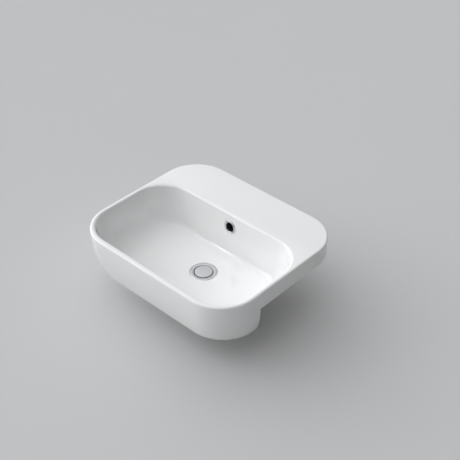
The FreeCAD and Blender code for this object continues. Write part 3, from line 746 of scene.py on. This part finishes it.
class BASIN_OT_overflow(Operator):
    """Build the overflow's chrome ring and its rubber ring"""
    bl_idname = "basin.overflow"
    bl_label = "Overflow"

    def execute(self, context):
        p = Places(context.scene)
        f = p.fit
        bore, barrel, foot = f.overflow_bore, f.overflow_barrel, -f.overflow_length
        middle, wire, groove = foot / 2, 0.8 * MM, barrel - 0.8 * MM    # the groove and half its width
        r, top = f.overflow_ring, f.overflow_flange
        profile = [(bore, foot), (barrel, foot), (barrel, middle - wire), (groove, middle - wire),
                   (groove, middle + wire), (barrel, middle + wire), (barrel, 0), (r, 0), (r, top * 0.72),
                   (r - top * 0.75, top), (bore + top * 0.55, top), (bore, top * 0.6)]
        reach = np.array([0.3, 0.3, 0.15, 0.1, 0.1, 0.15, 0.1, 0.2, 1.0, 1.0, 0.8, 0.9]) * MM
        profile = eased(profile, reach) + np.array([0, -f.spot_face])
        ring = turned("overflow_trim_ring", profile)
        centre = face_values(ring.data, "center")
        # The bore's faces take the black plastic, which paints the shade down the overflow hole.
        bore_painted_shade = (np.hypot(centre[:, 0], centre[:, 1]) < bore + 0.2 * MM) & (centre[:, 2] < top * 0.4)
        stand_for(p.at_overflow(ring), "overflow_ring", "chrome", "plastic")
        paint(ring.data, bore_painted_shade)
        t = around(16)
        mean, round_r = (f.overflow_hole + groove) / 2, (f.overflow_hole - groove) / 2 - 0.05 * MM
        ring = np.column_stack([mean + round_r * np.cos(t), middle - f.spot_face + round_r * np.sin(t)])
        stand_for(p.at_overflow(turned("overflow_rubber_ring", ring)), "overflow_o_ring", "rubber")
        return {"FINISHED"}


# ---- waste
def threaded_tube(p):
    """Tube with its flange and thread.

    The thread's radius is its crest less its depth x a triangle wave of (height / pitch - turn), which fades
    over one pitch at both ends.
    """
    f = p.fit
    groove, last, steps = 1.1 * MM, -6 * MM, 8      # depth, upper end, and rows to a pitch
    h = np.arange(-f.tube_length + MM, last, f.pitch / steps)
    t = around(ROUND)
    wave = np.abs(((h[:, None] / f.pitch - t[None] / (2 * math.pi)) % 1) * 2 - 1)
    fade = np.clip(np.minimum(h - h[0], h[-1] - h) / f.pitch, 0, 1)[:, None]
    r = f.tube - groove * wave * fade
    thread = np.stack([r * np.cos(t), r * np.sin(t), np.broadcast_to(h[:, None], r.shape)], -1)
    flange, thick = f.flange, f.flange_thick
    top = [(f.tube, -thick - 0.4 * MM), (f.tube + 0.4 * MM, -thick), (flange, -thick),
           (flange, -thick * 0.45), (flange - MM, -0.25 * MM), (flange - 3 * MM, 0),
           (SEAT_TOP_R + SEAT_BEVEL, 0), (SEAT_TOP_R, SEAT_TOP_Z), (f.bore, SEAT_FOOT_Z),
           (f.bore, -f.tube_length), (f.tube - 1.2 * MM, -f.tube_length)]
    reach = np.array([0.05, 0.2, 0.3, 1.0, 0.8, 2.0, 0.5, 0.4, 0.8, 0.3, 0.3]) * MM
    rows = np.concatenate([thread, turned_rows(eased(top, reach, 6))])
    return closed("waste_flange_and_tube", rows, wrap="both")


def spoke(name, profile, turn, inner, outer):
    """Prism that points away from the axis at an angle: a (sideways, height) profile at two radii."""
    sine, cosine = math.sin(turn), math.cos(turn)
    rows = np.stack([np.column_stack([-profile[:, 0] * sine + r * cosine, profile[:, 0] * cosine + r * sine,
                                      profile[:, 1]]) for r in (inner, outer)])
    return closed(name, rows, caps=True)


def waste(p):
    """Tube with four overflow windows, and a hub on three arms that carries the latch."""
    b = p.bowl
    body = threaded_tube(p)
    windows, arms, soft = 4, 3, 0.8 * MM
    top, low, half = b.drain - p.roof, b.drain - p.sill, 6 * MM     # a window's ends and half its width
    t = around(40)
    straight = np.sign(np.sin(t).round(6)) * ((top - low) / 2 - half)
    slot = np.column_stack([half * np.cos(t), (top + low) / 2 + half * np.sin(t) + straight])
    for k in range(windows):
        carve(body, (CUT, spoke("window", slot, k * 2 * math.pi / windows, 10 * MM, 40 * MM)))
    bar = eased(np.array([(-2, -41), (2, -41), (2, -33), (-2, -33)]) * MM, soft)
    for k in range(arms):
        carve(body, (JOIN, spoke("arm", bar, k * 2 * math.pi / arms - math.pi / 2, 9.5 * MM, 22 * MM)))
    hub = np.array([(8.6, -42), (12, -42), (12, -32), (8.6, -32)]) * MM
    carve(body, (JOIN, turned("hub", eased(hub, soft))))
    tidy(body.data)
    return p.at_waste(body)


def back_nut(p):
    """Hexagon nut on a bevelled bore: a hexagon capped by cones of 30 degrees, which turn its corners off."""
    f, b = p.fit, p.bowl
    top = b.drain - p.boss - CONED_SEAL - SLIP_WASHER
    low, half = top - f.nut_height, f.nut_flats / 2
    mouth, bore, bevel = 25.5 * MM, 24.2 * MM, 1.2 * MM
    corner = f.nut_flats / math.sqrt(3)
    drop = (corner - half) * math.tan(math.radians(30))
    steps = np.linspace(0, 1, 6)
    cone = np.column_stack([half + (corner - half) * steps, drop * steps])
    outer = [(mouth, low), (half - MM, low)] + [(r, low + h) for r, h in cone]
    outer += [(r, top - h) for r, h in cone[::-1]] + [(half - MM, top), (mouth, top)]
    inner = [(bore, top - bevel), (bore, low + bevel)]
    return p.at_waste(turned("back_nut_brass", outer + inner, 144, hexagon(f.nut_flats)))


def plug(p):
    """Domed plug: a turned disc with a round edge, a hub and lip for its seal, and a bored boss.

    The dome's height over the edge is the crown times 1 - (radius / its own radius) squared.
    """
    f = p.fit
    edge, r, bend = f.plug_edge, f.plug, 0.9 * MM
    u = np.linspace(0, 1, 16)
    dome = np.column_stack([(r - bend) * u, edge + f.plug_crown * (1 - u ** 2)])
    t = np.linspace(0, math.pi / 2, 7)[1:]
    bevel = np.column_stack([r - bend + bend * np.sin(t), edge - bend * (1 - np.cos(t))])
    lip, boss, bore = 17 * MM, 6.5 * MM, 3.05 * MM
    under, lip_top, lip_foot, boss_foot = -1.8 * MM, -3.2 * MM, -4.0 * MM, -8.0 * MM
    steps = [(PLUG_HUB, under), (PLUG_HUB, lip_top), (lip, lip_top), (lip, lip_foot), (boss, lip_foot),
             (boss, boss_foot), (bore, boss_foot), (bore, under)]
    profile = np.vstack([dome, bevel, [(r, under)], eased(steps, 0.2 * MM, 3), [(0, under)]])
    return p.at_waste(turned("plug_dome", profile))


def waste_ring(p, name, profile, reach, node, key):
    """Turned ring with eased corners round the waste, standing for its CAD node."""
    stand_for(p.at_waste(turned(name, eased(profile, reach))), node, key)


class BASIN_OT_waste(Operator):
    """Build the waste's flange and tube, its seals, washer and nut"""
    bl_idname = "basin.waste"
    bl_label = "Waste"

    def execute(self, context):
        p = Places(context.scene)
        f = p.fit
        stand_for(waste(p), "waste_body", "chrome")
        boss, wide, inner = p.bowl.drain - p.boss, 33 * MM, OVER_THREAD     # boss's foot, rings' radii
        under, rim = -f.flange_thick, f.flange - 0.5 * MM
        seal = [(rim, under - f.seal_thick), (inner, under - f.seal_thick), (inner, under), (rim, under)]
        waste_ring(p, "flange_seal_ring", seal, 0.4 * MM, "flange_seal", "rubber")
        foot, tip = boss - CONED_SEAL, boss + 2.5 * MM
        cone = [(inner, foot), (wide, foot), (wide, boss - MM), (wide - MM, boss), (25.8 * MM, boss),
                (24.5 * MM, tip), (inner, tip)]
        waste_ring(p, "coned_seal_ring", cone, 0.6 * MM, "lower_seal", "rubber")
        low = foot - SLIP_WASHER
        washer = [(inner, low), (wide, low), (wide, foot), (inner, foot)]
        waste_ring(p, "slip_washer_ring", washer, 0.25 * MM, "slip_washer", "nylon")
        stand_for(back_nut(p), "back_nut", "brass")
        return {"FINISHED"}


class BASIN_OT_plug(Operator):
    """Build the plug and its rubber seal"""
    bl_idname = "basin.plug"
    bl_label = "Plug"

    def execute(self, context):
        p = Places(context.scene)
        mesh = stand_for(plug(p), "plug_cap", "satin", "chrome").data
        shiny = face_values(mesh, "center")[:, 2] - p.flange < -0.1 * MM       # all but the plug's top
        paint(mesh, shiny)
        low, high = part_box("plug_seal")
        z0, z1, outer = low.z - p.flange, high.z - p.flange, high.x
        # The seal's black rubber lip rises round the plug to the flange's top, where it also paints the shade
        # in the gap round the plug.
        inner, edge, gap_shade_lip_top = p.fit.plug + 0.1 * MM, p.fit.plug + 2 * MM, 0.1 * MM    # the lip round the plug
        profile = [(PLUG_HUB, z0), (outer - 0.7 * MM, z0), (outer, (z0 + z1) / 2),
                   (edge - 1.3 * MM, z1 + 0.2 * MM), (edge, gap_shade_lip_top - 0.45 * MM), (edge, gap_shade_lip_top), (inner, gap_shade_lip_top),
                   (inner, z1), (PLUG_HUB, z1)]
        reach = np.array([0.4, 0.4, 0.3, 0.2, 0.1, 0.15, 0.1, 0.05, 0.2]) * MM
        waste_ring(p, "plug_seal_ring", profile, reach, "plug_seal", "rubber")
        return {"FINISHED"}


class BASIN_OT_latch(Operator):
    """Wind the latch spring and finish the latch's turned parts"""
    bl_idname = "basin.latch"
    bl_label = "Latch"

    @staticmethod
    def coil(p, low, high):
        """Helix of round wire whose slope eases to nothing at both ends, which lie flat."""
        f, steps, level = p.fit, 40, 0.75       # points to a turn, and the turns that each end takes to rise
        u = np.linspace(0, f.spring_turns, steps * f.spring_turns + 1)
        slope = np.clip(np.minimum(u, f.spring_turns - u) / level, 0, 1)
        lift = np.concatenate([[0], np.cumsum((slope[1:] + slope[:-1]) / 2)])
        r, wire = f.spring_radius, f.spring_wire
        z = low.z + wire + (high.z - low.z - 2 * wire) * lift / lift[-1]
        angle = 2 * math.pi * u
        centre = np.column_stack([r * np.cos(angle), p.drain + r * np.sin(angle), z])
        out = np.column_stack([np.cos(angle), np.sin(angle), 0 * angle])
        t = around(12)[None, :, None]
        return centre[:, None] + wire * (out[:, None] * np.cos(t) + np.array([0, 0, 1]) * np.sin(t))

    def execute(self, context):
        p = Places(context.scene)
        low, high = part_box("latch_spring")
        spring = closed("latch_spring_coil", self.coil(p, low, high), caps=True)
        spring.data.materials.append(material("spring"))
        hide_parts("latch_spring")
        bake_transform(spring)
        for node in CAD_PIECES:
            slots = NODES[node].data.materials
            slots.clear()
            slots.append(material(CAD_FINISH[SLOT_OF[node]]))
        return {"FINISHED"}


# ---- stage
FLOOR_REACH = 30.0                          # metres from the middle to each side of the floor
STRIP = {"place": (-1.352, -1.698, 1.357), "target": (-0.015, -0.139, -0.066), "extent": (0.085, 0.5),
         "roll": 26}
GLOWS = (("left", (-1, -0.3, 0.05), 0.35), ("above", (0, 0, 1), 0.6), ("front", (0, -0.55, 0.83), 0.7),
         ("behind", (-0.54, 0.56, 0.63), 0.72))      # setting, direction, cosine at the glow's edge
SENSOR = 36                                 # width of the camera's sensor, in mm


def lamp(name, power, place, target, extent, roll):
    """Soft white light, a rectangle aimed at a point and rolled about its aim by degrees."""
    light = bpy.data.lights.new(name, "AREA")
    light.shape, light.size, light.size_y = "RECTANGLE", *extent
    light.energy = power
    aim = (Vector(target) - Vector(place)).to_track_quat("-Z", "Y").to_matrix().to_4x4()
    put(name, light).matrix_world = move(*place) @ aim @ Matrix.Rotation(math.radians(roll), 4, "Z")


def pale_room(tint, backdrop, glows):
    """World lit by soft round glows, each (direction, cosine at its edge, brightness at its middle).

    The camera sees a plain backdrop behind them, which sheds no light of its own.
    """
    world = bpy.data.worlds.new("pale_room")
    world.use_nodes = True
    tree = world.node_tree
    tree.nodes.clear()
    place = add(tree, "TexCoord").outputs["Generated"]
    total = add(tree, "Math", {0: add(tree, "LightPath").outputs["Is Camera Ray"], 1: backdrop},
                operation="MULTIPLY").outputs["Value"]
    for toward, edge, bright in glows:
        facing = add(tree, "VectorMath", {0: place, 1: Vector(toward).normalized()}, operation="DOT_PRODUCT")
        glow = add(tree, "MapRange", {"Value": facing.outputs["Value"], "From Min": edge, "From Max": 1.0,
                                      "To Min": 0.0, "To Max": bright}, interpolation_type="SMOOTHSTEP")
        total = add(tree, "Math", {0: glow.outputs["Result"], 1: total}, operation="ADD").outputs["Value"]
    sky = add(tree, "Background", {"Color": linear(tint), "Strength": total})
    add(tree, "OutputWorld", {"Surface": sky.outputs["Background"]})
    return world


class BASIN_OT_stage(Operator):
    """Set the floor, the lights and the camera"""
    bl_idname = "basin.stage"
    bl_label = "Stage"

    def execute(self, context):
        scene = context.scene
        s, finishes = scene.basin_stage, scene.basin_finishes
        side = np.linspace(-FLOOR_REACH, FLOOR_REACH, 9)
        x, y = np.meshgrid(side, side)
        floor = closed("studio_floor", np.stack([x, y, np.full(x.shape, CAD_BOX[0].z - MM)], -1), wrap=False)
        # Matt paper: plain, with slow changes of tone.
        paper = new_finish("matt_studio_paper", finishes.floor, {}, 0.97, (0.5,), 0.85, 0.95, (0.1,))[0]
        floor.data.materials.append(paper)
        lamp("strip_light", s.strip, **STRIP)
        glows = [(toward, edge, getattr(s, name)) for name, toward, edge in GLOWS]
        scene.world = pale_room(finishes.room, s.backdrop, glows)
        data = bpy.data.cameras.new("photo_camera")
        data.lens, data.sensor_width = s.lens, SENSOR
        camera = put("photo_camera", data)
        a, e = s.turn, s.tilt
        back = Vector((math.sin(a) * math.cos(e), -math.cos(a) * math.cos(e), math.sin(e)))
        camera.location = s.camera
        camera.rotation_euler = (-back).to_track_quat("-Z", "Y").to_euler()
        scene.camera = camera
        scene.view_settings.view_transform = "Standard"
        return {"FINISHED"}


class BASIN_PT_panel(Panel):
    """Lists the steps that build the basin"""
    bl_idname = "BASIN_PT_panel"
    bl_label = "Semi-recessed basin"
    bl_space_type = "VIEW_3D"
    bl_region_type = "UI"
    bl_category = "Basin"

    def draw(self, context):
        for step in STEPS:
            self.layout.operator(step.bl_idname)
        for name in GROUPS:
            group = getattr(context.scene, name)
            box = self.layout.box()
            for key in group.bl_rna.properties.keys():
                if key not in ("rna_type", "name"):
                    box.prop(group, key)


STEPS = (BASIN_OT_china, BASIN_OT_overflow, BASIN_OT_waste, BASIN_OT_plug, BASIN_OT_latch, BASIN_OT_stage)
CLASSES = (*GROUPS.values(), *STEPS, BASIN_PT_panel)


def register():
    """Add the settings, steps and panel to Blender."""
    for cls in CLASSES:
        bpy.utils.register_class(cls)
    for name, group in GROUPS.items():
        setattr(bpy.types.Scene, name, PointerProperty(type=group))


def unregister():
    """Take them out again, in the opposite order."""
    for name in GROUPS:
        delattr(bpy.types.Scene, name)
    for cls in reversed(CLASSES):
        bpy.utils.unregister_class(cls)


def main():
    """Register everything and run the steps in order."""
    register()
    for step in STEPS:
        group, name = step.bl_idname.split(".")
        getattr(getattr(bpy.ops, group), name)()


if __name__ == "__main__":
    main()
